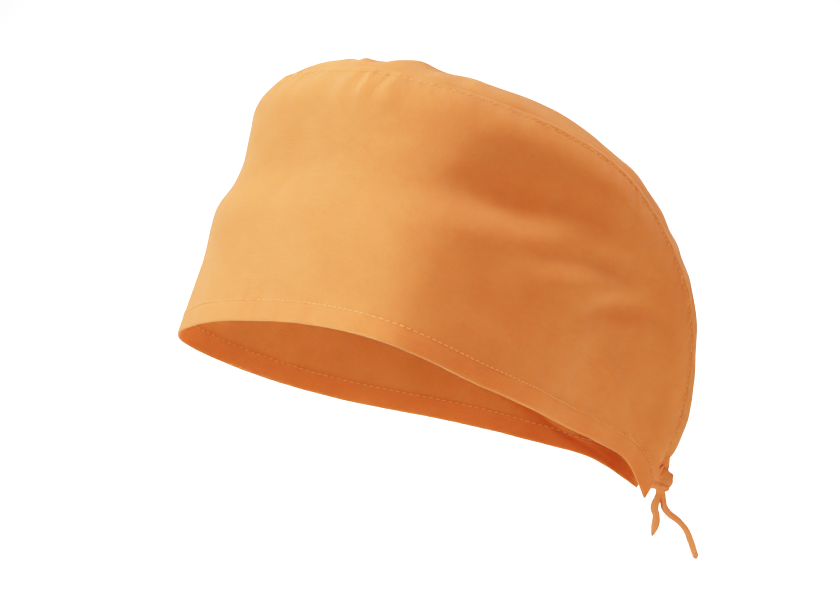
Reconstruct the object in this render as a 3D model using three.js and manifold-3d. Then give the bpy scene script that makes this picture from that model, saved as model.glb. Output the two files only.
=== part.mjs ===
// Tie-back surgical cap of orange woven cloth, in the form it has when worn.
// Millimetres. +Z is up, -Y is the brow and +X is the wearer's left.
import * as THREE from "three";
import { ParametricGeometry } from "three/addons/geometries/ParametricGeometry.js";
import { mergeVertices } from "three/addons/utils/BufferGeometryUtils.js";
import Module from "manifold-3d";

// Driving sizes of the cloth
const clothThickness = 1.2;
const hemThickness = 2.2;
const hemWidth = 9;
const pieceGap = 0.35;
const wornTilt = THREE.MathUtils.degToRad(17);

// The left half of the cap, one row for each upright section from the brow to the nape.
// rim is a point of the lower edge of the band, seam is where the band meets the crown panel,
// bulge is how far the wall stands out between them, rise is the height of the crown
// above its seam and lean is how far that rise tips back, in degrees.
const sections = [
  { name: "front", rim: [0, -74, 4], seam: [0, -69, 105], bulge: 6, rise: 0, lean: 0 },
  { name: "brow", rim: [43, -71, 3], seam: [31, -66, 104], bulge: 6, rise: 5, lean: 0 },
  { name: "temple", rim: [74, -58, 0], seam: [54, -45, 102], bulge: 7, rise: 11, lean: 2 },
  { name: "fore_ear", rim: [75, -22, -3], seam: [63, -4, 101], bulge: 5, rise: 18, lean: 8 },
  { name: "ear", rim: [64, 14, -3], seam: [61, 31, 96], bulge: 4, rise: 20, lean: 20 },
  { name: "behind_ear", rim: [42, 47, -1], seam: [50, 67, 83], bulge: 2, rise: 20, lean: 40 },
  { name: "nape_side", rim: [26, 77, 0], seam: [38, 98, 59], bulge: 1, rise: 18, lean: 62 },
  { name: "bend", rim: [14, 102, -1], seam: [20, 120, 26], bulge: 0, rise: 14, lean: 80 },
  { name: "corner", rim: [3, 123, -11], seam: [3.5, 128, 7], bulge: 0, rise: 4, lean: 88 },
  { name: "nape", rim: [0, 124, -11], seam: [0, 129, 8], bulge: 0, rise: 2, lean: 88 },
];
const lastSection = sections.length - 1;
const cornerSection = sections.findIndex((row) => row.name === "corner");
// Its tie draws the right-hand corner of the band up, from tuckStart on
const cornerTuck = 4;
const tuckStart = 6.4;

// Soft folds of the band. section and height place the middle, on the left where section is
// above 0; length and width are half sizes in mm, turn is in degrees, and lift is outward.
const bandFolds = [
  { section: 3.1, height: 0.69, length: 46, width: 9, turn: 15, lift: -5.0 },
  { section: 2.9, height: 0.73, length: 26, width: 14, turn: 12, lift: -3.2 },
  { section: 2.6, height: 0.53, length: 30, width: 8, turn: 12, lift: 1.4 },
  { section: 4.1, height: 0.625, length: 34, width: 6, turn: 21, lift: -3.6 },
  { section: 3.9, height: 0.52, length: 30, width: 6, turn: 19, lift: 1.4 },
  { section: 4.9, height: 0.58, length: 26, width: 5, turn: 29, lift: -3.0 },
  { section: 5.8, height: 0.27, length: 36, width: 5, turn: -17, lift: 2.2 },
  { section: 0.1, height: 0.59, length: 52, width: 13, turn: 2, lift: -3.4 },
  { section: -1.3, height: 0.45, length: 26, width: 10, turn: 0, lift: 2.4 },
  { section: -2.4, height: 0.7, length: 34, width: 10, turn: -8, lift: -4.6 },
  { section: -3.9, height: 0.62, length: 30, width: 6, turn: -20, lift: -3.2 },
  { section: -4.8, height: 0.56, length: 26, width: 5, turn: -28, lift: -2.6 },
  { section: -5.8, height: 0.28, length: 36, width: 5, turn: 17, lift: 2.2 },
];

// Soft folds of the crown panel. reach is the share of the way from its middle to its seam.
const crownFolds = [
  { section: 1.0, reach: 0.8, length: 7, width: 12, turn: 0, lift: -1.6 },
  { section: 1.75, reach: 0.78, length: 7, width: 14, turn: 0, lift: -2.2 },
  { section: 1.4, reach: 0.72, length: 8, width: 14, turn: 0, lift: 1.6 },
  { section: 3.9, reach: 0.82, length: 9, width: 12, turn: 0, lift: -1.8 },
  { section: 6.6, reach: 0.55, length: 30, width: 6, turn: 0, lift: -1.6 },
  { section: -1.5, reach: 0.78, length: 8, width: 14, turn: 0, lift: -2.0 },
  { section: -3.4, reach: 0.8, length: 9, width: 12, turn: 0, lift: -1.8 },
  { section: -6.4, reach: 0.55, length: 30, width: 6, turn: 0, lift: -1.6 },
];
const sectionPitch = 37;
const wallHeight = 100;
const crownReach = 55;

// Knot and free ends of the ties
const tieWidth = 3.2;
const tieThickness = 2.2;
const knotMiddle = new THREE.Vector3(0, 131.4, -1.6);
const knotSize = new THREE.Vector3(8.4, 8, 9.6);
// Each free end: sideways, backward and downward reach from the knot's middle at its bends
const longTailBends = [
  { side: -0.7, back: 1.4, down: 6.0 },
  { side: 0.2, back: 2.8, down: 9.6 },
  { side: 2.4, back: 5.2, down: 14.4 },
  { side: 4.6, back: 7.5, down: 18.4 },
  { side: 6.3, back: 9.2, down: 23.6 },
  { side: 7.9, back: 11.0, down: 30.8 },
];
const shortTailBends = [
  { side: 0.6, back: -1.8, down: 6.0 },
  { side: -0.3, back: -3.2, down: 10.4 },
  { side: 0.1, back: -3.0, down: 15.6 },
  { side: -0.6, back: -4.4, down: 22.0 },
];

// Section number brought back into the round of the cap, which closes at the nape
const around = (section) =>
  THREE.MathUtils.euclideanModulo(section + lastSection, 2 * lastSection) - lastSection;

// Value between sections. The halves mirror each other at the brow and at the nape.
function valueAt(valueOf, section, sideways = false) {
  const value = (index) => {
    const size = Math.abs(index);
    const pastNape = size > lastSection;
    const row = sections[pastNape ? 2 * lastSection - size : size];
    const onRight = index < 0 !== pastNape;
    return sideways && onRight ? -valueOf(row) : valueOf(row);
  };
  const place = around(section);
  const start = Math.floor(place);
  const share = place - start;
  const [before, from, to, after] = [start - 1, start, start + 1, start + 2].map(value);
  const slopeFrom = (to - before) / 2;
  const slopeTo = (after - from) / 2;
  const square = share * share;
  const cube = square * share;
  return (
    from * (2 * cube - 3 * square + 1) +
    slopeFrom * (cube - 2 * square + share) +
    to * (3 * square - 2 * cube) +
    slopeTo * (cube - square)
  );
}
const columnAt = (column, section) => valueAt((row) => row[column], section);
const pointOf = (column, section) =>
  new THREE.Vector3(...[0, 1, 2].map((axis) => valueAt((row) => row[column][axis], section, axis === 0)));

function rimAt(section) {
  const rim = pointOf("rim", section);
  rim.z += cornerTuck * THREE.MathUtils.smoothstep(-around(section), tuckStart, cornerSection);
  return rim;
}
const seamAt = (section) => pointOf("seam", section);

// Sum of the soft folds at a place given in mm along and across the cloth
function foldLift(folds, along, across) {
  return folds.reduce((sum, fold) => {
    const turn = THREE.MathUtils.degToRad(fold.turn);
    const dx = along - fold.along;
    const dy = across - fold.across;
    const lengthwise = (dx * Math.cos(turn) + dy * Math.sin(turn)) / fold.length;
    const crosswise = (dy * Math.cos(turn) - dx * Math.sin(turn)) / fold.width;
    return sum + fold.lift * Math.exp(-(lengthwise ** 2) - crosswise ** 2);
  }, 0);
}
const placedBandFolds = bandFolds.map((fold) => ({
  ...fold,
  along: fold.section * sectionPitch,
  across: fold.height * wallHeight,
}));
const placedCrownFolds = crownFolds.map((fold) => ({
  ...fold,
  along: fold.section * sectionPitch,
  across: fold.reach * crownReach,
}));

// Outer face of the band: height runs from 0 at the rim to 1 at the seam
function bandPoint(section, height) {
  const step = 0.001;
  const rim = rimAt(section);
  const upward = seamAt(section).sub(rim);
  const forward = rimAt(section + step)
    .add(seamAt(section + step))
    .sub(rimAt(section - step))
    .sub(seamAt(section - step));
  const outward = forward.cross(upward).normalize();
  const shoulder = (1 - (1 - height) ** 2) * (1 - height ** 16);
  const fold = foldLift(placedBandFolds, section * sectionPitch, height * wallHeight);
  const lift = columnAt("bulge", section) * shoulder + fold * (1 - height ** 12);
  return rim.addScaledVector(upward, height).addScaledVector(outward, lift);
}

// Outer face of the crown panel: reach runs from 0 on its middle line to 1 at the seam
const spineStart = 1.5;
const spineEnd = cornerSection;
function crownPoint(section, reach) {
  const place = around(section);
  const spine = THREE.MathUtils.lerp(spineStart, spineEnd, Math.abs(place) / lastSection);
  const middle = seamAt(spine).setX(0);
  const lean = THREE.MathUtils.degToRad(columnAt("lean", spine));
  const dome = (1 - reach ** 2) ** 0.75;
  const fold = foldLift(placedCrownFolds, place * sectionPitch, reach * crownReach);
  const lift = columnAt("rise", spine) * dome + fold * Math.sin(Math.PI * reach);
  const up = new THREE.Vector3(0, Math.sin(lean), Math.cos(lean));
  return middle.lerp(seamAt(section), reach).addScaledVector(up, lift);
}

// Outward unit normal of a face
function faceNormal(face, a, b) {
  const step = 0.004;
  const lengthwise = face(a + step, b).sub(face(a - step, b));
  const crosswise = face(a, b + step).sub(face(a, b - step));
  return lengthwise.cross(crosswise).normalize();
}

// Direction and length of the slanted joint face that band and crown share at their seam
const nearSeam = 0.985;
function seamInward(section) {
  const bandNormal = faceNormal(bandPoint, section, nearSeam);
  const crownNormal = faceNormal(crownPoint, section, nearSeam).negate();
  const middle = bandNormal.clone().add(crownNormal).normalize();
  const slant = Math.max(middle.dot(bandNormal), 0.6);
  return middle.divideScalar(-slant);
}

// Same surface with equal corners joined and slivers left out
const weldDistance = 0.001;
function weld(geometry) {
  const bare = new THREE.BufferGeometry();
  bare.setAttribute("position", geometry.attributes.position);
  bare.setIndex(geometry.index);
  const welded = mergeVertices(bare, weldDistance);
  const corners = Array.from(welded.index.array);
  const kept = [];
  for (let i = 0; i < corners.length; i += 3) {
    const triangle = corners.slice(i, i + 3);
    if (new Set(triangle).size === 3) kept.push(...triangle);
  }
  welded.setIndex(kept);
  welded.computeVertexNormals();
  return welded;
}

// Surface through a point for each column and row
function sheet(columns, rows, pointAt) {
  const lastColumn = columns.length - 1;
  const lastRow = rows.length - 1;
  const surface = (u, v, target) => {
    const column = columns[Math.round(u * lastColumn)];
    const row = rows[Math.round(v * lastRow)];
    target.copy(pointAt(column, row));
  };
  return weld(new ParametricGeometry(surface, lastColumn, lastRow));
}

// Side band with its turned hem. Its rows run up the outer face and down the inner one.
const bandColumnCount = 96;
const bandRowCount = 10;
function bandGeometry() {
  const columns = [];
  for (let i = 0; i <= bandColumnCount; i += 1) {
    const section = THREE.MathUtils.lerp(-cornerSection, cornerSection, i / bandColumnCount);
    columns.push({ section, end: false });
  }
  columns.unshift({ section: -cornerSection, end: true });
  columns.push({ section: cornerSection, end: true });

  const outer = [];
  const inner = [];
  for (let i = 0; i <= bandRowCount; i += 1) {
    outer.push({ share: i / bandRowCount, depth: 0 });
    inner.unshift({ share: i / bandRowCount, depth: clothThickness });
  }
  const rimOutside = { share: "rim", depth: 0 };
  const hemTop = { share: 0, depth: hemThickness };
  const rimInside = { share: "rim", depth: hemThickness };
  const rows = [rimOutside, ...outer, ...inner, hemTop, rimInside, rimOutside];

  const pointAt = ({ section, end }, { share, depth }) => {
    const wall = rimAt(section).distanceTo(seamAt(section));
    const hemShare = hemWidth / wall;
    const topShare = 1 - pieceGap / 2 / wall;
    const height = share === "rim" ? 0 : THREE.MathUtils.lerp(hemShare, topShare, share);
    const wallInward = () => faceNormal(bandPoint, section, Math.min(height, nearSeam)).negate();
    const inward = share === 1 ? seamInward(section) : wallInward();
    return bandPoint(section, height).addScaledVector(inward, end ? clothThickness / 2 : depth);
  };
  return sheet(columns, rows, pointAt);
}

// Crown panel. Its rows run from the middle line outside, over the edge and back inside.
const crownColumnCount = 96;
const crownRowCount = 9;
function crownGeometry() {
  const columns = [];
  for (let i = 0; i <= crownColumnCount; i += 1) {
    columns.push(THREE.MathUtils.lerp(lastSection, -lastSection, i / crownColumnCount));
  }
  const outer = [];
  const inner = [];
  for (let i = 0; i <= crownRowCount; i += 1) {
    outer.push({ share: i / crownRowCount, depth: 0 });
    inner.unshift({ share: i / crownRowCount, depth: clothThickness });
  }
  const pointAt = (section, { share, depth }) => {
    const span = crownPoint(section, 0).distanceTo(seamAt(section));
    const reach = share * (1 - pieceGap / 2 / span);
    const panelInward = () => faceNormal(crownPoint, section, Math.max(reach, 0.02));
    const inward = share === 1 ? seamInward(section) : panelInward();
    const onMiddleLine = share === 0 || Math.abs(section) === lastSection;
    if (onMiddleLine) inward.setX(0);
    return crownPoint(section, reach).addScaledVector(inward, depth);
  };
  return sheet(columns, [...outer, ...inner], pointAt);
}

// One free end of the ties, a flat folded strip swept along its bends
function tailGeometry(bends) {
  const points = bends.map(({ side, back, down }) => new THREE.Vector3(side, back, -down));
  const path = new THREE.CatmullRomCurve3(points);
  const strip = new THREE.Shape();
  strip.absellipse(0, 0, tieThickness / 2, tieWidth / 2, 0, 2 * Math.PI);
  const steps = Math.ceil(path.getLength() / (tieWidth / 2));
  return new THREE.ExtrudeGeometry(strip, { steps, curveSegments: 4, extrudePath: path });
}

// Knot: a rounded core with two crossing wraps of the strip
const wasm = await Module();
wasm.setup();
function solidOf(geometry) {
  const welded = weld(geometry);
  const mesh = new wasm.Mesh({
    numProp: 3,
    vertProperties: welded.attributes.position.array,
    triVerts: new Uint32Array(welded.index.array),
  });
  return new wasm.Manifold(mesh);
}
function geometryOf(solid) {
  const mesh = solid.getMesh();
  const geometry = new THREE.BufferGeometry();
  geometry.setAttribute("position", new THREE.BufferAttribute(mesh.vertProperties, 3));
  geometry.setIndex(new THREE.BufferAttribute(mesh.triVerts, 1));
  geometry.computeVertexNormals();
  return geometry;
}
// Stretch of tie from the end of the band to the middle of the knot
const armClearance = 0.9;
function armGeometry(section) {
  const halfway = 0.5;
  const bandEnd = bandPoint(section, halfway);
  bandEnd.addScaledVector(faceNormal(bandPoint, section, halfway), -clothThickness / 2);
  bandEnd.sub(knotMiddle);
  const start = bandEnd.clone().setLength(bandEnd.length() - armClearance);
  const strip = new THREE.Shape();
  strip.absellipse(0, 0, tieThickness / 2, tieWidth / 2, 0, 2 * Math.PI);
  const path = new THREE.LineCurve3(start, new THREE.Vector3());
  return new THREE.ExtrudeGeometry(strip, { steps: 1, curveSegments: 4, extrudePath: path });
}
function knotGeometry() {
  const coreSize = knotSize.clone().multiply(new THREE.Vector3(0.86, 0.86, 0.9));
  const core = new THREE.SphereGeometry(0.5, 16, 12).scale(coreSize.x, coreSize.y, coreSize.z);
  const wrapRadius = (knotSize.x - tieThickness) / 2;
  const wrap = new THREE.TorusGeometry(wrapRadius, tieThickness / 2, 8, 20);
  wrap.scale(1, 1, tieWidth / tieThickness);
  const upperWrap = wrap.clone().rotateX(0.5).rotateY(0.35).translate(0, 0, 1.4);
  const lowerWrap = wrap.clone().rotateX(-0.6).rotateY(-0.4).translate(0, 0, -1.8);
  const pieces = [upperWrap, lowerWrap, armGeometry(cornerSection), armGeometry(-cornerSection)];
  const knot = pieces.reduce((joined, piece) => joined.add(solidOf(piece)), solidOf(core));
  return geometryOf(knot);
}

// Materials and scene graph
const cloth = new THREE.MeshStandardMaterial({ name: "cap_cloth", color: 0xe08a3c, roughness: 0.9 });
const tieCloth = new THREE.MeshStandardMaterial({ name: "tie_cloth", color: 0xd98338, roughness: 0.9 });
function named(name, geometry, material) {
  const mesh = new THREE.Mesh(geometry, material);
  mesh.name = name;
  return mesh;
}

// The cap leans back by the worn tilt, and the free ends hang down from the knot
const cap = new THREE.Group();
cap.rotation.x = -wornTilt;
cap.add(named("side_band", bandGeometry(), cloth));
cap.add(named("crown_panel", crownGeometry(), cloth));
const knot = named("tie_knot", knotGeometry(), tieCloth);
knot.position.copy(knotMiddle);
cap.add(knot);
cap.updateMatrix();

const tails = new THREE.Group();
tails.position.copy(knotMiddle).applyMatrix4(cap.matrix);
tails.add(named("tie_tail_long", tailGeometry(longTailBends), tieCloth));
tails.add(named("tie_tail_short", tailGeometry(shortTailBends), tieCloth));

// The origin is the place inside the crown that rests on the top of the head
const seatSection = 2.5;
const seatSpine = ((seatSection - spineStart) / (spineEnd - spineStart)) * lastSection;
const headSeat = crownPoint(seatSpine, 0);
headSeat.z -= clothThickness;
headSeat.applyMatrix4(cap.matrix);

const surgicalCap = new THREE.Group();
surgicalCap.add(cap, tails);
for (const child of surgicalCap.children) child.position.sub(headSeat);

export default surgicalCap;
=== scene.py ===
"""Looks of a tie-back surgical cap of orange woven cloth, in its worn form."""
import math
import bpy
import numpy as np
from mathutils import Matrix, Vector, noise


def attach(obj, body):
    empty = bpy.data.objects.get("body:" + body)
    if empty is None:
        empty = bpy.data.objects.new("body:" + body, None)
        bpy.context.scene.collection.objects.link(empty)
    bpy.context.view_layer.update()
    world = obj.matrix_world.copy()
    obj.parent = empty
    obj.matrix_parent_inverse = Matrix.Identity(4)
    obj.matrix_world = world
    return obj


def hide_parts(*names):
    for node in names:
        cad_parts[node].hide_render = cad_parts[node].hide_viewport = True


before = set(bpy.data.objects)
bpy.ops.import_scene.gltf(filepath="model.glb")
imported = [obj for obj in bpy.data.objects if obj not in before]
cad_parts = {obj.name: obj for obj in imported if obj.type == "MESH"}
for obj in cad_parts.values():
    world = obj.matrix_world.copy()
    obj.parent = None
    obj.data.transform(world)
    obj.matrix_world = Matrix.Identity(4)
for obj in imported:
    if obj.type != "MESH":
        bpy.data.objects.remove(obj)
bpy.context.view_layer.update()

# Driving sizes, in mm. The cap is described upright and then leant back as it is worn.
MM = 0.001
WORN_TILT = math.radians(17)
SOLID_CLOTH = 1.2
CLOTH_THICKNESS = 0.8
HEM_WIDTH = 9.0
HEM_EXTRA = 0.25
HEM_STITCH_HEIGHT = 8.0
# How far the rim's edge rows are drawn to the middle of the cloth, from the edge up
RIM_ROUNDING = (0.75, 0.25)
SEAM_STITCH_DROP = 2.4
STITCH_PITCH = 2.7
STITCH_LENGTH = 1.9
THREAD_RADIUS = 0.24
THREAD_STANDS = 0.16
# Width of a stitch and how far it stands out, in thread radii, from one end to the other
STITCH_FORM = ((0.55, -0.7), (0.95, 0), (1, 0.2), (1, 0.2), (0.95, 0), (0.55, -0.7))
# Step up the wall that shows which way is up at a stitch
NUDGE = 0.4
THREAD_SIDES = 6
LINE_POINTS = 3000
LINE_END_GAP = 0.05

# Relief of the cloth, in mm
HEM_STEP = 0.3
HEM_SOFTNESS = 0.25
GROOVE_DEPTH = 0.3
GROOVE_WIDTH = 0.8
SEAM_LIP = 0.35
SEAM_LIP_DROP = SEAM_STITCH_DROP - 1.5
SEAM_LIP_WIDTH = 1.1
CROWN_DIP = 0.5
CROWN_DIP_WIDTH = 0.9
# Raised strip of seam allowance under the seam
ALLOWANCE = 1.9
ALLOWANCE_DROP = 12
ALLOWANCE_WIDTH = 8.5
# Gathers: lift, pitch round the cap, start, and their middle and half width up from the rim or off the seam
HEM_GATHERS = (0.2, 11, 0.4, HEM_STITCH_HEIGHT, 5)
SEAM_GATHERS = (0.7, 17, 1.9, 9, 6)
SEAM_PUCKERS = (0.42, 7, 0.9, 3.5, 3.5)
CROWN_GATHERS = (1.0, 19, 4.1, 8, 7)
# Uneven gathers. Wander: size, pace and start. Swell: least, size, pace and start.
GATHER_WANDER = ((1.3, 0.31, 1), (0.9, 0.173, 2))
GATHER_SWELL = (0.62, 0.38, 0.127, 3)
# Share of the gathers that is left at the sides, and how many sections the full ones reach from the front
SIDE_SHARE = 0.25
BAND_GATHER_REACH = 2.6
CROWN_GATHER_REACH = 2.4
# Gathers fade where the wall or half the crown is narrower than this, and crumples near the seam
FULL_WALL = 60
FULL_CROWN = 30
SMOOTH_EDGE = 3
# Crumples: lift, size and start
BAND_CRUMPLES = ((0.75, 26, 3.1), (0.32, 9, 7.7))
CROWN_CRUMPLES = ((0.85, 28, 5.3), (0.32, 10, 1.2))

# One row for each upright section of the left half, from the brow to the nape. The right mirrors it.
SECTION_COLUMNS = ("rim_x", "rim_y", "rim_z", "seam_x", "seam_y", "seam_z", "bulge", "rise", "lean")
SECTIONS = {
    "front": (0, -74, 4, 0, -69, 105, 6, 0, 0),
    "brow": (43, -71, 3, 31, -66, 104, 6, 5, 0),
    "temple": (74, -58, 0, 54, -45, 102, 7, 11, 2),
    "fore_ear": (75, -22, -3, 63, -4, 101, 5, 18, 8),
    "ear": (64, 14, -3, 61, 31, 96, 4, 20, 20),
    "behind_ear": (42, 47, -1, 50, 67, 83, 2, 20, 40),
    "nape_side": (26, 77, 0, 38, 98, 59, 1, 18, 62),
    "bend": (14, 102, -1, 20, 120, 26, 0, 14, 80),
    "corner": (3, 123, -11, 3.5, 128, 7, 0, 4, 88),
    "nape": (0, 124, -11, 0, 129, 8, 0, 2, 88),
}
LAST = len(SECTIONS) - 1
CORNER = list(SECTIONS).index("corner")
# Its tie draws the right-hand corner of the band up, from TUCK_START on
CORNER_TUCK = 4
TUCK_START = 6.4

# Soft folds: place round the cap, share of the way up (or out), half length and half width, turn and lift
BAND_FOLDS = [
    (3.1, 0.69, 46, 9, 15, -5.0),
    (2.9, 0.73, 26, 14, 12, -3.2),
    (2.6, 0.53, 30, 8, 12, 1.4),
    (4.1, 0.625, 34, 6, 21, -3.6),
    (3.9, 0.52, 30, 6, 19, 1.4),
    (4.9, 0.58, 26, 5, 29, -3.0),
    (5.8, 0.27, 36, 5, -17, 2.2),
    (0.1, 0.59, 52, 13, 2, -3.4),
    (-1.3, 0.45, 26, 10, 0, 2.4),
    (-2.4, 0.70, 34, 10, -8, -4.6),
    (-3.9, 0.62, 30, 6, -20, -3.2),
    (-4.8, 0.56, 26, 5, -28, -2.6),
    (-5.8, 0.28, 36, 5, 17, 2.2),
]
CROWN_FOLDS = [
    (1.0, 0.80, 7, 12, 0, -1.6),
    (1.75, 0.78, 7, 14, 0, -2.2),
    (1.4, 0.72, 8, 14, 0, 1.6),
    (3.9, 0.82, 9, 12, 0, -1.8),
    (6.6, 0.55, 30, 6, 0, -1.6),
    (-1.5, 0.78, 8, 14, 0, -2.0),
    (-3.4, 0.80, 9, 12, 0, -1.8),
    (-6.4, 0.55, 30, 6, 0, -1.6),
]
# Lengths that the folds are measured with: from section to section, up the wall, and out to the seam
SECTION_PITCH = 37
WALL_HEIGHT = 100
CROWN_REACH = 55
# How sharply the wall turns in at the seam, how late its folds fade there, and how full the dome is
SHOULDER_POWER = 16
FOLD_FADE_POWER = 12
DOME_POWER = 0.75
# Sections level with the front end of the crown's middle line and with the seat on the head
SPINE_START = 1.5
SEAT_SECTION = 2.5

# Ties and knot. The knot's middle is in the upright cap, and its size is across, deep and tall.
TIE_WIDTH = 3.2
TIE_THICKNESS = 2.4
KNOT_MIDDLE = (0, 131.4, -1.6)
KNOT_SIZE = (8.4, 8.0, 9.6)
# Turns of the knot: size across, drop below its middle, tilt, and the strip's width and thickness
KNOT_TURNS = [
    ((8.8, 9.6, 0), -1.6, -14, 5.4, 2.4),
    ((8.0, 8.6, 0), 2.3, 5, 3.6, 2.2),
]
# Shift of the turns and the core from the knot's middle, and how uneven the turns are
KNOT_SHIFT = (0, 0.8, 0.5)
TURN_WAVE = 0.15
TURN_WIDTH_WAVE = 0.12
# Gathered cloth from the end of the crown to the knot: a point, and the width and thickness there
NECK = [
    (0, 123.5, 17, 6.5, 3.0),
    (0, 129.3, 10, 7.0, 4.8),
    (0, 131.0, 4.5, 6.4, 5.2),
    (0, 131.4, -1.6, 5.0, 5.0),
]
# Bends of the free ends: sideways, backward and downward from the middle of the knot
LONG_TAIL_BENDS = [
    (0.1, 0.1, 1.0),
    (0.4, 0.6, 4.8),
    (0.8, 1.1, 8.6),
    (1.1, 1.6, 11.0),
    (2.2, 3.3, 13.6),
    (4.3, 6.2, 16.3),
    (6.0, 8.7, 19.9),
    (7.0, 10.1, 24.0),
    (7.7, 11.2, 27.9),
    (8.4, 12.2, 31.7),
]
SHORT_TAIL_BENDS = [
    (0.4, -0.6, 2.0),
    (0.3, -0.9, 5.0),
    (0.4, -2.1, 7.7),
    (0.0, -2.8, 10.9),
    (0.4, -2.2, 14.1),
    (0.3, -2.6, 17.7),
    (-0.3, -4.0, 22.6),
]
# Shares of the tie's width from the knot to the free end
LONG_TAIL_FORM = (0.8, 0.95, 0.95, 0.85, 0.85, 0.8, 0.9, 0.85)
SHORT_TAIL_FORM = (0.7, 0.8, 1.05, 1.0, 1.05, 0.95, 0.35)
SHORT_TAIL_THICKNESS = 1.8
END_ROUNDING = 1.4
END_LEAST = 0.02
TIE_FACING = np.array([0.82, -0.56, 0.1])
TAIL_POINTS = 80
TAIL_WAVINESS = 0.06
TAIL_WAVES = 19
TURN_POINTS = 73
CORE_POINTS = 25
CORE_LEAN = 0.6
CORE_LEAST = 0.002
NECK_POINTS = 30
# Short arms from the corners of the band to the knot: start up the corner's edge, and both ends' sizes
ARM_POINTS = 12
ARM_START = 0.75
ARM_WIDTH = (6, 4.5)
ARM_THICKNESS = (1.2, 3)
STRIP_SIDES = 20
CREASE_ANGLE = 1.9
CREASE_WIDTH = 0.35
CREASE_DEPTH = 0.22


# Form of the cap
def ring_of(number, column):
    """One column of the sections, all round the cap from nape to nape."""
    half = np.array([row[number] for row in SECTIONS.values()], float)
    side = -1 if column.endswith("_x") else 1
    return np.concatenate([side * half[LAST:0:-1], half[:LAST]])


RINGS = {column: ring_of(number, column) for number, column in enumerate(SECTION_COLUMNS)}


def column_at(column, section):
    """Value of a column between sections, smoothly joined."""
    ring = RINGS[column]
    place = np.mod(section + LAST, 2 * LAST)
    low = np.floor(place).astype(int)
    share = place - low
    before, start, end, after = (ring[(low + step) % (2 * LAST)] for step in (-1, 0, 1, 2))
    square = share ** 2
    cube = share ** 3
    return (
        start * (2 * cube - 3 * square + 1)
        + (end - before) / 2 * (cube - 2 * square + share)
        + end * (3 * square - 2 * cube)
        + (after - start) / 2 * (cube - square)
    )


def rim_at(section):
    rim = np.stack([column_at(column, section) for column in ("rim_x", "rim_y", "rim_z")], -1)
    place = np.mod(section + LAST, 2 * LAST) - LAST
    share = np.clip((-place - TUCK_START) / (CORNER - TUCK_START), 0, 1)
    rim[..., 2] += CORNER_TUCK * share ** 2 * (3 - 2 * share)
    return rim


def seam_at(section):
    return np.stack([column_at(column, section) for column in ("seam_x", "seam_y", "seam_z")], -1)


def wall_at(section):
    """Height of the band's wall along its slope."""
    return np.linalg.norm(seam_at(section) - rim_at(section), axis=-1)


def unit(vectors):
    return vectors / np.maximum(np.linalg.norm(vectors, axis=-1, keepdims=True), 1e-9)


def fold_lift(folds, section, share, reach):
    """Sum of the soft folds at places on the cloth."""
    lift = np.zeros(np.broadcast(section, share).shape)
    for place, height, length, width, turn, size in folds:
        angle = math.radians(turn)
        along = (section - place) * SECTION_PITCH
        across = (share - height) * reach
        lengthwise = (along * math.cos(angle) + across * math.sin(angle)) / length
        crosswise = (across * math.cos(angle) - along * math.sin(angle)) / width
        lift += size * np.exp(-lengthwise ** 2 - crosswise ** 2)
    return lift


def crumple(points, scale, seed):
    """Uneven relief from -1 to 1 at points in mm."""
    flat = points.reshape(-1, 3) / scale
    values = [noise.noise(Vector((x + seed, y - seed, z))) for x, y, z in flat]
    return np.array(values).reshape(points.shape[:-1])


def bump(distance, middle, width):
    return np.exp(-((distance - middle) / width) ** 2)


def crumpling(points, crumples):
    """Sum of the crumples at points in mm."""
    return sum(lift * crumple(points, scale, seed) for lift, scale, seed in crumples)


def gathers(row, section, distance):
    """Uneven waves round the cap where a stitched edge is gathered."""
    lift, pitch, seed, middle, width = row
    length = section * SECTION_PITCH / pitch * 2 * math.pi
    wander = sum(size * np.sin(length * pace + start * seed) for size, pace, start in GATHER_WANDER)
    least, size, pace, start = GATHER_SWELL
    swell = least + size * np.sin(length * pace + start * seed)
    return lift * np.sin(length + wander) * swell * bump(distance, middle, width)


def front_share(section, reach):
    """Share of the gathers: 1 at the front, less at the sides."""
    return SIDE_SHARE + (1 - SIDE_SHARE) * bump(section, 0, reach)


def hem_share(above_rim):
    """1 in the hem and 0 above it."""
    return 1 / (1 + np.exp((above_rim - HEM_WIDTH) / HEM_SOFTNESS))


def band_form(section, height):
    """Smooth outer face of the band from 0 at the rim to 1 at the seam, and its outward direction."""
    rim = rim_at(section)
    upward = seam_at(section) - rim
    step = 0.001
    middle_after = rim_at(section + step) + seam_at(section + step)
    middle_before = rim_at(section - step) + seam_at(section - step)
    outward = unit(np.cross(middle_after - middle_before, upward))
    shoulder = (1 - (1 - height) ** 2) * (1 - height ** SHOULDER_POWER)
    fold = fold_lift(BAND_FOLDS, section, height, WALL_HEIGHT) * (1 - height ** FOLD_FADE_POWER)
    lift = column_at("bulge", section) * shoulder + fold
    return rim + upward * height[..., None] + outward * lift[..., None], outward


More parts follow.
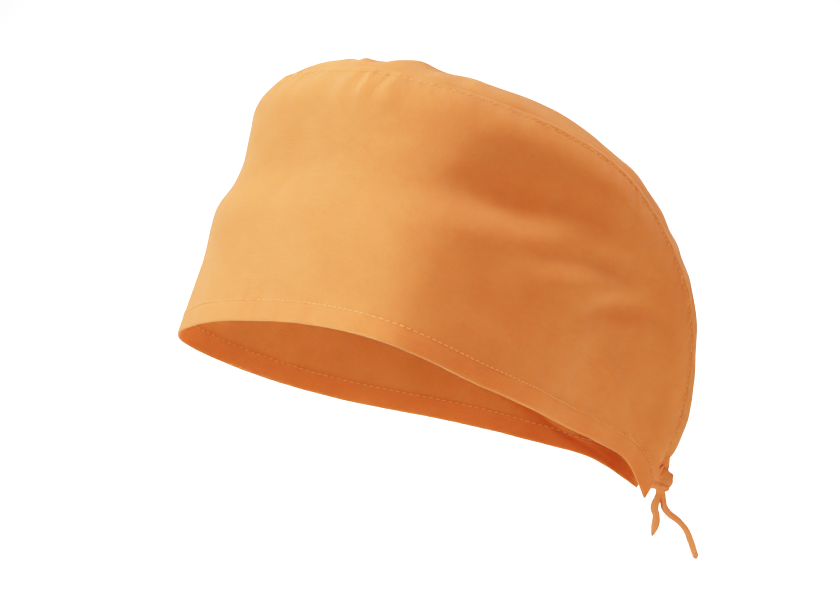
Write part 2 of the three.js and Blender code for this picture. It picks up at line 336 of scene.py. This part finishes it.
def band_surface(section, height):
    """Outer face of the band with its hem, stitch grooves, gathers and crumpling."""
    points, outward = band_form(section, height)
    wall = wall_at(section)
    above_rim = height * wall
    below_seam = (1 - height) * wall
    full = np.clip(wall / FULL_WALL, 0, 1)
    at_front = full * front_share(section, BAND_GATHER_REACH)
    relief = crumpling(points, BAND_CRUMPLES)
    relief += HEM_STEP * hem_share(above_rim)
    relief -= GROOVE_DEPTH * bump(above_rim, HEM_STITCH_HEIGHT, GROOVE_WIDTH)
    relief += gathers(HEM_GATHERS, section, above_rim) * at_front
    relief += SEAM_LIP * bump(below_seam, SEAM_LIP_DROP, SEAM_LIP_WIDTH)
    relief -= GROOVE_DEPTH * bump(below_seam, SEAM_STITCH_DROP, GROOVE_WIDTH)
    relief += ALLOWANCE * bump(below_seam, ALLOWANCE_DROP, ALLOWANCE_WIDTH) * full
    relief += gathers(SEAM_GATHERS, section, below_seam) * at_front
    relief += gathers(SEAM_PUCKERS, section, below_seam) * full
    return points + outward * relief[..., None]


def crown_surface(section, reach):
    """Outer face of the crown panel from 0 on its middle line to 1 at the seam."""
    place = np.mod(section + LAST, 2 * LAST) - LAST
    spine = SPINE_START + (CORNER - SPINE_START) * np.abs(place) / LAST
    middle = seam_at(spine)
    middle[..., 0] = 0
    lean = np.radians(column_at("lean", spine))
    dome = np.maximum(1 - reach ** 2, 0) ** DOME_POWER
    fold = fold_lift(CROWN_FOLDS, place, reach, CROWN_REACH) * np.sin(math.pi * reach)
    up = np.stack([np.zeros_like(lean), np.sin(lean), np.cos(lean)], -1)
    edge = seam_at(section)
    lift = column_at("rise", spine) * dome + fold
    points = middle + (edge - middle) * reach[..., None] + up * lift[..., None]
    breadth = np.linalg.norm(edge - middle, axis=-1)
    inside_seam = (1 - reach) * breadth
    at_front = np.clip(breadth / FULL_CROWN, 0, 1) * front_share(place, CROWN_GATHER_REACH)
    relief = crumpling(points, CROWN_CRUMPLES) * np.clip(inside_seam / SMOOTH_EDGE, 0, 1)
    relief += gathers(CROWN_GATHERS, place, inside_seam) * at_front
    relief -= CROWN_DIP * bump(inside_seam, 0, CROWN_DIP_WIDTH)
    return points + up * relief[..., None]


def lean_back(points):
    """Turns upright points to the worn tilt."""
    x, y, z = points[..., 0], points[..., 1], points[..., 2]
    back = y * math.cos(WORN_TILT) + z * math.sin(WORN_TILT)
    high = z * math.cos(WORN_TILT) - y * math.sin(WORN_TILT)
    return np.stack([x, back, high], -1)


def head_seat():
    """Place inside the crown that rests on the head, before it becomes the origin."""
    seat = seam_at(np.array(SEAT_SECTION))
    lean = math.radians(column_at("lean", np.array(SEAT_SECTION)))
    rise = column_at("rise", np.array(SEAT_SECTION))
    inside = np.array([0, seat[1] + rise * math.sin(lean), seat[2] + rise * math.cos(lean) - SOLID_CLOTH])
    return lean_back(inside)


SEAT = head_seat()
KNOT_PLACE = lean_back(np.array(KNOT_MIDDLE, float)) - SEAT


def worn(points):
    """Upright points in mm as points of the row frame in metres."""
    return (lean_back(points) - SEAT) * MM


# Mesh helpers
SHARP_EDGE = math.radians(35)
POINTS_PER_BEND = 40


def grid_faces(columns, rows, start, flip, wrap=False):
    """Quads between neighbouring columns and rows of a grid of points."""
    last = columns if wrap else columns - 1
    i, j = np.meshgrid(np.arange(last), np.arange(rows - 1), indexing="ij")
    after = (i + 1) % columns
    quads = np.stack([i * rows + j, after * rows + j, after * rows + j + 1, i * rows + j + 1], -1)
    quads = quads.reshape(-1, 4) + start
    return quads[:, ::-1] if flip else quads


def object_from(name, points, faces, material, uvs=None):
    """A smooth-shaded mesh object in the row frame."""
    mesh = bpy.data.meshes.new(name)
    mesh.from_pydata(points.tolist(), [], faces)
    mesh.validate()
    if uvs is not None:
        layer = mesh.uv_layers.new(name="cloth")
        corners = np.zeros(len(mesh.loops), np.int32)
        mesh.loops.foreach_get("vertex_index", corners)
        layer.data.foreach_set("uv", uvs[corners].astype(np.float32).ravel())
    mesh.polygons.foreach_set("use_smooth", np.ones(len(mesh.polygons), bool))
    mesh.set_sharp_from_angle(angle=SHARP_EDGE)
    mesh.materials.append(material)
    thing = bpy.data.objects.new(name, mesh)
    bpy.context.scene.collection.objects.link(thing)
    return thing


def shell(name, outer, inner, uvs, material, wrap):
    """Closed cloth wall between two grids of points."""
    columns, rows = outer.shape[:2]
    count = columns * rows
    points = np.concatenate([outer.reshape(-1, 3), inner.reshape(-1, 3)])
    faces = [grid_faces(columns, rows, 0, False, wrap), grid_faces(columns, rows, count, True, wrap)]
    index = np.arange(count).reshape(columns, rows)
    for border, flip in ((index[:, 0], True), (index[:, -1], False)):
        ends = np.concatenate([border, border[:1]]) if wrap else border
        quads = np.stack([ends[:-1], ends[1:], ends[1:] + count, ends[:-1] + count], -1)
        faces.append(quads if flip else quads[:, ::-1])
    if not wrap:
        for border, flip in ((index[0], False), (index[-1], True)):
            quads = np.stack([border[:-1], border[1:], border[1:] + count, border[:-1] + count], -1)
            faces.append(quads if flip else quads[:, ::-1])
    both = np.concatenate([uvs.reshape(-1, 2), uvs.reshape(-1, 2)])
    return object_from(name, points, np.concatenate(faces).tolist(), material, both)


def tube(centres, ring):
    """Points and faces of a swept tube: a ring of offsets about each centre, with closed ends."""
    columns, sides = ring.shape[:2]
    points = (centres[:, None, :] + ring).reshape(-1, 3)
    faces = []
    for i in range(columns - 1):
        for j in range(sides):
            after = (j + 1) % sides
            faces.append((i * sides + j, i * sides + after, (i + 1) * sides + after, (i + 1) * sides + j))
    first = len(points)
    last = (columns - 1) * sides
    for j in range(sides):
        after = (j + 1) % sides
        faces.append((first, after, j))
        faces.append((first + 1, last + j, last + after))
    return np.concatenate([points, centres[:1], centres[-1:]]), faces


def joined(parts):
    """Points and faces of several parts as one."""
    points = np.concatenate([part_points for part_points, _ in parts])
    faces = []
    first = 0
    for part_points, part_faces in parts:
        faces += [tuple(first + corner for corner in face) for face in part_faces]
        first += len(part_points)
    return points, faces


def smooth_path(bends, count):
    """Points evenly spread along a smooth line through the bends."""
    bends = np.array(bends, float)
    padded = np.concatenate([2 * bends[:1] - bends[1:2], bends, 2 * bends[-1:] - bends[-2:-1]])
    place = np.linspace(0, len(bends) - 1 - 1e-6, POINTS_PER_BEND * len(bends))
    low = place.astype(int)
    share = (place - low)[:, None]
    a, b, c, d = (padded[low + step] for step in range(4))
    fine = 0.5 * (
        2 * b
        + (c - a) * share
        + (2 * a - 5 * b + 4 * c - d) * share ** 2
        + (3 * b - a - 3 * c + d) * share ** 3
    )
    length = np.concatenate([[0], np.cumsum(np.linalg.norm(np.diff(fine, axis=0), axis=1))])
    even = np.linspace(0, length[-1], count)
    return np.stack([np.interp(even, length, fine[:, axis]) for axis in range(3)], -1), length[-1]


# Materials. The pitch of the threads is in metres, and the grains are counted along a metre.
THREAD_PITCH = 0.0009
# Distance between the bands of a wave at a scale of 1
WAVE_PITCH = math.pi / 10
SLUBS_ACROSS = 1400
SLUBS_ALONG = 180
BLOTCHES = 38
WEAVE_RELIEF = 0.5
SLUB_RELIEF = 0.7
RELIEF_DEPTH = 0.0003
SLUB_TONE = 0.2
BLOTCH_TONE = 0.6
# Tones of the uneven dye that take the darker and the lighter colour
SHADE_TONE = 0.3
COLOUR_TONE = 0.85
CAP_COLOUR = (0.76, 0.19, 0.054)
CAP_SHADE = (0.66, 0.155, 0.042)
# The ties are cut from the cap's fabric. Their two colours are painted lighter than the cap's, as painted
# light that offsets the shade in the knot's folds.
TIE_COLOUR_PAINTED_LIGHTER = (0.84, 0.24, 0.075)
TIE_SHADE_PAINTED_LIGHTER = (0.74, 0.2, 0.06)
THREAD_COLOUR = (0.84, 0.28, 0.06)
PAPER_COLOUR = (0.55, 0.55, 0.55)


def cloth_material(name, colour, shade, translucency):
    """Plain woven cloth: crossing threads and slubs in relief, uneven dye and a soft sheen."""
    material = bpy.data.materials.new(name)
    material.use_nodes = True
    nodes = material.node_tree.nodes
    links = material.node_tree.links
    nodes.clear()
    output = nodes.new("ShaderNodeOutputMaterial")
    shader = nodes.new("ShaderNodeBsdfPrincipled")
    shader.inputs["Roughness"].default_value = 0.85
    shader.inputs["Specular IOR Level"].default_value = 0.04
    shader.inputs["Subsurface Weight"].default_value = translucency
    shader.inputs["Subsurface Radius"].default_value = (1.0, 0.7, 0.5)
    shader.inputs["Subsurface Scale"].default_value = 0.005
    shader.inputs["Sheen Weight"].default_value = 0.08
    shader.inputs["Sheen Roughness"].default_value = 0.45
    shader.inputs["Sheen Tint"].default_value = (1.0, 0.75, 0.6, 1)
    links.new(shader.outputs[0], output.inputs["Surface"])
    uv = nodes.new("ShaderNodeUVMap")
    uv.uv_map = "cloth"

    def scaled(x, y):
        mapping = nodes.new("ShaderNodeMapping")
        mapping.inputs["Scale"].default_value = (x, y, 1)
        links.new(uv.outputs[0], mapping.inputs["Vector"])
        return mapping.outputs[0]

    def thread(direction):
        wave = nodes.new("ShaderNodeTexWave")
        wave.bands_direction = direction
        wave.inputs["Scale"].default_value = WAVE_PITCH / THREAD_PITCH
        wave.inputs["Distortion"].default_value = 0.6
        wave.inputs["Detail"].default_value = 1
        links.new(uv.outputs[0], wave.inputs["Vector"])
        return wave.outputs["Fac"]

    def grain(x, y, detail):
        texture = nodes.new("ShaderNodeTexNoise")
        texture.inputs["Scale"].default_value = 1
        texture.inputs["Detail"].default_value = detail
        links.new(scaled(x, y), texture.inputs["Vector"])
        return texture.outputs["Fac"]

    def combine(operation, a, b):
        node = nodes.new("ShaderNodeMath")
        node.operation = operation
        for socket, value in zip(node.inputs, (a, b)):
            if isinstance(value, (int, float)):
                socket.default_value = value
            else:
                links.new(value, socket)
        return node.outputs[0]

    weave = combine("MULTIPLY", thread("X"), thread("Y"))
    slubs = combine("ADD", grain(SLUBS_ACROSS, SLUBS_ALONG, 2), grain(SLUBS_ALONG, SLUBS_ACROSS, 2))
    thread_relief = combine("MULTIPLY", weave, WEAVE_RELIEF)
    relief = combine("ADD", thread_relief, combine("MULTIPLY", slubs, SLUB_RELIEF))
    relief_node = nodes.new("ShaderNodeBump")
    relief_node.inputs["Strength"].default_value = 0.5
    relief_node.inputs["Distance"].default_value = RELIEF_DEPTH
    links.new(relief, relief_node.inputs["Height"])
    links.new(relief_node.outputs[0], shader.inputs["Normal"])

    blotch = grain(BLOTCHES, BLOTCHES, 3)
    tone = combine("ADD", combine("MULTIPLY", slubs, SLUB_TONE), combine("MULTIPLY", blotch, BLOTCH_TONE))
    ramp = nodes.new("ShaderNodeValToRGB")
    ramp.color_ramp.elements[0].position = SHADE_TONE
    ramp.color_ramp.elements[0].color = (*shade, 1)
    ramp.color_ramp.elements[1].position = COLOUR_TONE
    ramp.color_ramp.elements[1].color = (*colour, 1)
    links.new(tone, ramp.inputs[0])
    links.new(ramp.outputs[0], shader.inputs["Base Color"])
    return material


def plain_material(name, colour, roughness):
    material = bpy.data.materials.new(name)
    material.use_nodes = True
    shader = material.node_tree.nodes["Principled BSDF"]
    shader.inputs["Base Color"].default_value = (*colour, 1)
    shader.inputs["Roughness"].default_value = roughness
    return material


cap_cloth = cloth_material("cap_cloth", CAP_COLOUR, CAP_SHADE, translucency=1.0)
# Painted light: the ties take lighter colours than the cap's same fabric, to brighten the shaded knot
tie_cloth = cloth_material("tie_cloth", TIE_COLOUR_PAINTED_LIGHTER, TIE_SHADE_PAINTED_LIGHTER, translucency=0.0)
thread_material = plain_material("stitching_thread", THREAD_COLOUR, roughness=0.7)


# Cloth pieces. Columns run round the cap, and rows from the rim or the middle line to the seam.
BAND_COLUMNS = 420
BAND_ROWS = 92
BAND_ROW_CROWDING = 0.1
CROWN_COLUMNS = 360
CROWN_ROWS = 56
CROWN_ROW_POWER = 0.8


def face_normals(points):
    """Outward unit normals of a grid of points from its neighbours."""
    along = np.gradient(points, axis=0)
    up = np.gradient(points, axis=1)
    return unit(np.cross(along, up))


def crowded(count):
    """Shares from 0 to 1 that crowd towards both ends."""
    share = np.linspace(0, 1, count)
    return share - BAND_ROW_CROWDING * np.sin(2 * math.pi * share)


def side_band():
    rounds = np.linspace(-CORNER, CORNER, BAND_COLUMNS)
    section, height = np.meshgrid(rounds, crowded(BAND_ROWS), indexing="ij")
    outer = band_surface(section, height)
    wall = wall_at(section)
    thickness = CLOTH_THICKNESS + HEM_EXTRA * hem_share(height * wall)
    inner = outer - face_normals(outer) * thickness[..., None]
    for row, share in enumerate(RIM_ROUNDING):
        middle = (outer[:, row] + inner[:, row]) / 2
        outer[:, row] += (middle - outer[:, row]) * share
        inner[:, row] += (middle - inner[:, row]) * share
    uvs = np.stack([section * SECTION_PITCH * MM, height * wall * MM], -1)
    return shell("cap_side_band", worn(outer), worn(inner), uvs, cap_cloth, wrap=False)


def crown_panel():
    rounds = np.linspace(LAST, -LAST, CROWN_COLUMNS, endpoint=False)
    outward = np.linspace(0, 1, CROWN_ROWS) ** CROWN_ROW_POWER
    section, reach = np.meshgrid(rounds, outward, indexing="ij")
    outer = crown_surface(section, reach)
    normals = face_normals(outer)
    normals[:, 0, 0] = 0
    inner = outer - unit(normals) * CLOTH_THICKNESS
    inner[:, 0, 0] = 0
    uvs = np.stack([outer[..., 0] * MM, (outer[..., 1] - outer[..., 2]) * MM], -1)
    return shell("cap_crown_panel", worn(outer), worn(inner), uvs, cap_cloth, wrap=True)


def stitch_line(name, heights_at, inside):
    """Thread stitches along the band, at a height in mm above the rim for each section."""
    end = CORNER - LINE_END_GAP
    section = np.linspace(-end, end, LINE_POINTS)
    wall = wall_at(section)
    height = heights_at(section)
    line = band_surface(section, height / wall)
    upward = unit(band_surface(section, (height + NUDGE) / wall) - line)
    outward = unit(np.cross(np.gradient(line, axis=0), upward))
    if inside:
        line = line - outward * (CLOTH_THICKNESS + HEM_EXTRA)
        outward = -outward
    line = line + outward * THREAD_STANDS
    length = np.concatenate([[0], np.cumsum(np.linalg.norm(np.diff(line, axis=0), axis=1))])
    angles = np.linspace(0, 2 * math.pi, THREAD_SIDES, endpoint=False)[None, :, None]
    width, sink = THREAD_RADIUS * np.array(STITCH_FORM).T
    parts = []
    for start in np.arange(0, length[-1] - STITCH_LENGTH, STITCH_PITCH):
        places = start + np.linspace(0, STITCH_LENGTH, len(STITCH_FORM))
        centres, sideways, out = (
            np.stack([np.interp(places, length, values[:, axis]) for axis in range(3)], -1)
            for values in (line, upward, outward)
        )
        round_thread = np.cos(angles) * sideways[:, None, :] + np.sin(angles) * out[:, None, :]
        parts.append(tube(centres + out * sink[:, None], width[:, None, None] * round_thread))
    points, faces = joined(parts)
    return object_from(name, worn(points), faces, thread_material)


def hem_line(section):
    return np.full_like(section, HEM_STITCH_HEIGHT)


def seam_line(section):
    return wall_at(section) - SEAM_STITCH_DROP


band = side_band()
crown = crown_panel()
hem_stitches = stitch_line("hem_stitches", hem_line, inside=False)
hem_stitches_inside = stitch_line("hem_stitches_inside", hem_line, inside=True)
seam_stitches = stitch_line("seam_stitches", seam_line, inside=False)


# Ties
def soft_strip(centres, facing, width, thickness):
    """Points and faces of a folded strip along its centres. Its flat side looks in the facing direction."""
    angles = np.linspace(0, 2 * math.pi, STRIP_SIDES, endpoint=False)
    tangents = unit(np.gradient(centres, axis=0))
    across = unit(np.cross(tangents, facing))
    out = unit(np.cross(across, tangents))
    creased = 1 - CREASE_DEPTH * bump(angles, CREASE_ANGLE, CREASE_WIDTH)
    wide = np.cos(angles) * creased
    thick = np.sin(angles) * creased
    ring = across[:, None, :] * wide[None, :, None] * np.reshape(width, (-1, 1, 1)) / 2
    ring = ring + out[:, None, :] * thick[None, :, None] * np.reshape(thickness, (-1, 1, 1)) / 2
    return tube(centres, ring)


def tie_object(name, points, faces):
    return object_from(name, points, faces, tie_cloth, points[:, 1:])


def tail(name, bends, thickness, form):
    """One hanging free end of the ties. The form gives shares of its width from the knot to its end."""
    offsets = [(side, back, -down) for side, back, down in bends]
    centres, length = smooth_path(offsets, TAIL_POINTS)
    centres = (centres + KNOT_PLACE) * MM
    place = np.linspace(0, 1, TAIL_POINTS)
    shares = np.interp(place, np.linspace(0, 1, len(form)), form)
    rounded = np.sqrt(np.clip((1 - place) * length / END_ROUNDING, END_LEAST, 1))
    shares = shares * rounded * (1 + TAIL_WAVINESS * np.sin(place * TAIL_WAVES))
    points, faces = soft_strip(centres, TIE_FACING, shares * TIE_WIDTH * MM, shares * thickness * MM)
    return tie_object(name, points, faces), centres, length * MM


def knot_turn(size, drop, tilt, width, thickness):
    """A turn of the strip round the knot's middle, with a tilt in degrees."""
    turns = np.linspace(0, 2 * math.pi, TURN_POINTS)
    radial = np.stack([np.cos(turns), np.sin(turns), np.zeros_like(turns)], -1)
    loop = radial * (np.array(size) - thickness) / 2
    loop[:, 2] += np.tan(math.radians(tilt)) * loop[:, 1] - drop
    loop += radial * TURN_WAVE * np.sin(3 * turns + drop)[:, None]
    uneven = 1 + TURN_WIDTH_WAVE * np.sin(2 * turns + tilt)
    return soft_strip(loop + np.add(KNOT_MIDDLE, KNOT_SHIFT), radial, width * uneven, thickness)


def knot():
    """Tight knot: two turns of the strip round a core, and the gathered cloth that runs into it."""
    middle = np.array(KNOT_MIDDLE)
    parts = [knot_turn(*turn) for turn in KNOT_TURNS]
    backward = np.array([0, 1.0, 0])
    sideways = np.array([1.0, 0, 0])
    across, deep, tall = KNOT_SIZE
    core = np.linspace(-0.5, 0.5, CORE_POINTS)
    roundness = np.sqrt(np.maximum(1 - (2 * core) ** 2, CORE_LEAST))
    line = middle + KNOT_SHIFT + core[:, None] * np.array([0, CORE_LEAN, tall])
    parts.append(soft_strip(line, backward, across * roundness, deep * roundness))
    neck = np.array(NECK)
    way, _ = smooth_path(neck[:, :3], NECK_POINTS)
    places = np.linspace(0, len(NECK) - 1, NECK_POINTS)
    width, thickness = (np.interp(places, range(len(NECK)), neck[:, column]) for column in (3, 4))
    parts.append(soft_strip(way, backward, width, thickness))
    arm_width = np.linspace(*ARM_WIDTH, ARM_POINTS)
    arm_thickness = np.linspace(*ARM_THICKNESS, ARM_POINTS)
    for corner in (CORNER, -CORNER):
        start = band_form(np.array([float(corner)]), np.array([ARM_START]))[0][0]
        arm = np.linspace(start, middle, ARM_POINTS)
        parts.append(soft_strip(arm, sideways, arm_width, arm_thickness))
    points, faces = joined(parts)
    return tie_object("tie_knot_wraps", worn(points), faces)


long_tail, long_path, long_length = tail("tie_long_end", LONG_TAIL_BENDS, TIE_THICKNESS, LONG_TAIL_FORM)
short_tail, _, _ = tail("tie_short_end", SHORT_TAIL_BENDS, SHORT_TAIL_THICKNESS, SHORT_TAIL_FORM)
knot_piece = knot()

# What each piece stands for
for piece, node, finish in (
    (band, "side_band", "cap_cloth"),
    (crown, "crown_panel", "cap_cloth"),
    (knot_piece, "tie_knot", "tie_cloth"),
    (long_tail, "tie_tail_long", "tie_cloth"),
    (short_tail, "tie_tail_short", "tie_cloth"),
):
    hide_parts(node)
    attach(piece, "root")
for piece in (hem_stitches, hem_stitches_inside, seam_stitches):
    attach(piece, "root")

# Studio, in metres: a pale round bowl under and about the cap, soft lamps and the camera
FLOOR_Z = -0.62
FLOOR_RADIUS = 2.6
FLOOR_RINGS = (0.01, 0.6, 1.2)
WALL_TOP = 2.6
COVE = 0.8
COVE_POINTS = 16
BOWL_SIDES = 96
LAMP_SIZE = 0.6


def studio_bowl():
    bend = np.linspace(0, math.pi / 2, COVE_POINTS)
    radius = np.concatenate([FLOOR_RINGS, FLOOR_RADIUS - COVE + COVE * np.sin(bend), [FLOOR_RADIUS]])
    flat_floor = np.zeros(len(FLOOR_RINGS))
    height = np.concatenate([flat_floor, COVE - COVE * np.cos(bend), [WALL_TOP]]) + FLOOR_Z
    angles = np.linspace(0, 2 * math.pi, BOWL_SIDES, endpoint=False)
    ring = np.stack([np.cos(angles), np.sin(angles)], -1)
    flat = ring[:, None, :] * radius[None, :, None]
    high = np.broadcast_to(height, (BOWL_SIDES, len(height)))[..., None]
    points = np.concatenate([flat, high], -1)
    faces = grid_faces(BOWL_SIDES, len(height), 0, True, wrap=True)
    paper = plain_material("studio_paper", PAPER_COLOUR, roughness=0.95)
    bowl = object_from("studio_bowl", points.reshape(-1, 3), faces.tolist(), paper)


def soft_light(name, place, aim, power, colour):
    data = bpy.data.lights.new(name, "AREA")
    data.shape = "DISK"
    data.size = LAMP_SIZE
    data.energy = power
    data.color = colour
    lamp = bpy.data.objects.new(name, data)
    lamp.location = place
    lamp.rotation_euler = (Vector(aim) - Vector(place)).to_track_quat("-Z", "Y").to_euler()
    bpy.context.scene.collection.objects.link(lamp)
    return lamp


CAMERA_AZIMUTH = math.radians(55.5)
TOWARDS_CAMERA = Vector((math.sin(CAMERA_AZIMUTH), -math.cos(CAMERA_AZIMUTH), 0))
IMAGE_RIGHT = Vector((math.cos(CAMERA_AZIMUTH), math.sin(CAMERA_AZIMUTH), 0))
CAP_MIDDLE = Vector((0, 0.01, -0.08))


def seen_from_cap(right, near, up):
    """A place given in metres to the right, nearer to the camera and up from the cap."""
    return CAP_MIDDLE + IMAGE_RIGHT * right + TOWARDS_CAMERA * near + Vector((0, 0, up))


studio_bowl()
world = bpy.data.worlds.new("studio")
bpy.context.scene.world = world
world.use_nodes = True
world.node_tree.nodes["Background"].inputs["Color"].default_value = (1, 1, 1, 1)
world.node_tree.nodes["Background"].inputs["Strength"].default_value = 0.01
WHITE = (1, 1, 1)
COOL = (0.86, 0.96, 1)
ROSY = (1, 0.92, 1)
WARM = (1, 0.86, 0.75)
# Lamps on the cap: place to the right, nearer and up, then power and colour
LAMPS = {
    "key": ((-1.2, 0.6, 0.5), 1.8, WHITE),
    "front_fill": ((-1.2, 0.85, 0.5), 13.5, COOL),
    "overhead": ((0, 0.35, 1.4), 10.5, ROSY),
    "under": ((0.6, 0.45, -0.5), 2.8, WARM),
}
for lamp_name, (lamp_place, lamp_power, lamp_colour) in LAMPS.items():
    soft_light(lamp_name, seen_from_cap(*lamp_place), CAP_MIDDLE, lamp_power, lamp_colour)
# Lamp on the wall behind the cap
BACKDROP_POWER = 13
BACKDROP_SPREAD = math.radians(50)
backdrop_place = seen_from_cap(0, -1.0, 0.9)
backdrop_aim = seen_from_cap(0, -FLOOR_RADIUS, -0.1)
backdrop = soft_light("backdrop_light", backdrop_place, backdrop_aim, BACKDROP_POWER, WHITE)
backdrop.data.spread = BACKDROP_SPREAD
backdrop.visible_camera = False

CAMERA_DISTANCE = 1.3
CAMERA_LENS = 144.9
CAMERA_AIM = Vector((-0.0002, -0.0028, -0.0842))
camera_data = bpy.data.cameras.new("camera")
camera_data.lens = CAMERA_LENS
camera_data.sensor_width = 36
camera = bpy.data.objects.new("camera", camera_data)
camera.location = CAMERA_AIM + TOWARDS_CAMERA * CAMERA_DISTANCE
camera.rotation_euler = (math.pi / 2, 0, CAMERA_AZIMUTH)
bpy.context.scene.collection.objects.link(camera)
bpy.context.scene.camera = camera

# Print tone of the picture: a soft shoulder that keeps bright cloth from burning out
TONE_STEEPNESS = 1.2
TONE_SHOULDER = 0.2
TONE_LEVELS = (0.005, 0.01, 0.02, 0.05, 0.1, 0.2, 0.4, 0.7)
picture = bpy.context.scene.view_settings
picture.view_transform = "Standard"
picture.use_curve_mapping = True
COMBINED_CURVE = 3
tone_curve = picture.curve_mapping.curves[COMBINED_CURVE]
for level in TONE_LEVELS:
    steep = level ** TONE_STEEPNESS
    tone_curve.points.new(level, steep * (1 + TONE_SHOULDER) / (steep + TONE_SHOULDER))
picture.curve_mapping.update()
